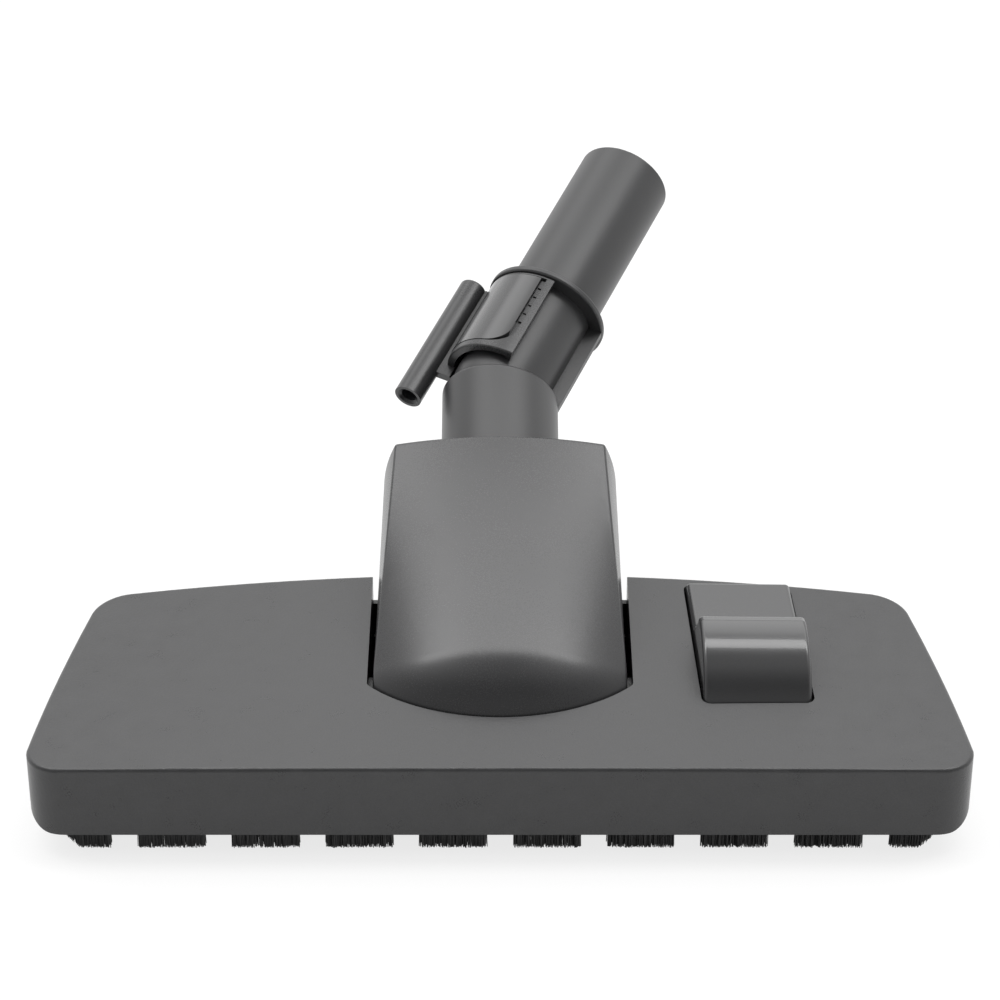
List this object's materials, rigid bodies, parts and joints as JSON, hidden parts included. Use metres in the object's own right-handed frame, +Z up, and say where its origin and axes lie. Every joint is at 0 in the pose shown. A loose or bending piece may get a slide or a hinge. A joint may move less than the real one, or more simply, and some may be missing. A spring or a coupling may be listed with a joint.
{
  "type": "vacuum floor brush head",
  "caption": "Wide vacuum floor head with a tilting neck, swivelling bent tube, parking hook, foot pedal and brush rows that lift into the housing.",
  "frame": {"origin": "on the floor under the middle of the overall box", "axes": "+X along the brush to the side the tube leans to, +Y from the front edge towards the tube, +Z up from the floor"},
  "size_m": [0.28, 0.248, 0.1272],
  "materials": {
    "housing": "fine grained anthracite",
    "neck_shell": "fine grained anthracite",
    "tube": "satin anthracite",
    "gloss_trim": "polished anthracite",
    "hook": "satin anthracite",
    "sole": "smooth black",
    "bristle": "dark bristle",
    "steel": "bright steel",
    "seal": "soft black rubber",
    "wheel": "grey black rubber",
    "velour": "red velour"
  },
  "bodies": {
    "base": {"base_cover": "housing", "sole_plate": "sole", "sole_screws": "steel", "left_lint_strip": "velour", "right_lint_strip": "velour", "left_wheel_axle": "steel", "right_wheel_axle": "steel", "left_tilt_pin": "sole", "right_tilt_pin": "sole", "chamber_seal": "seal", "pedal_axle": "steel", "detent_spring": "steel"},
    "brush": {"brush_frame": "sole", "front_bristles": "bristle", "rear_bristles": "bristle"},
    "pedal": {"pedal": "gloss_trim", "crank_pin": "steel"},
    "neck": {"neck_cover": "neck_shell", "neck_base": "neck_shell", "neck_screws": "steel", "swivel_ring": "sole", "swivel_seal": "seal"},
    "elbow": {"elbow_tube": "tube", "hook_clip": "hook", "hook_cap": "hook", "front_hook_cover": "gloss_trim", "rear_hook_cover": "gloss_trim"},
    "left_wheel": {"left_wheel": "wheel"},
    "right_wheel": {"right_wheel": "wheel"}
  },
  "joints": [
    {"name": "neck_tilt", "type": "hinge", "parent": "base", "child": "neck", "pos_m": [0, -0.073, 0.023], "axis": [1, 0, 0], "range_deg": [0, 42]},
    {"name": "tube_swivel", "type": "hinge", "parent": "neck", "child": "elbow", "pos_m": [0, -0.00546, 0.0581], "axis": [0, 0.9114, 0.4115], "continuous": true},
    {"name": "pedal_rock", "type": "hinge", "parent": "base", "child": "pedal", "pos_m": [0.076, -0.066, 0.02], "axis": [0.9977, 0.0523, -0.0436], "range_deg": [0, 20]},
    {"name": "brush_lift", "type": "slide", "parent": "base", "child": "brush", "axis": [0, 0, 1], "range_m": [0, 0.0085]},
    {"name": "left_wheel_spin", "type": "hinge", "parent": "base", "child": "left_wheel", "pos_m": [-0.101, -0.052, 0.0135], "axis": [1, 0, 0], "continuous": true},
    {"name": "right_wheel_spin", "type": "hinge", "parent": "base", "child": "right_wheel", "pos_m": [0.101, -0.052, 0.0135], "axis": [1, 0, 0], "continuous": true}
  ],
  "couplings": [
    {"joint": "pedal_rock", "follows": "brush_lift", "rad_per_m": 40.3}
  ]
}
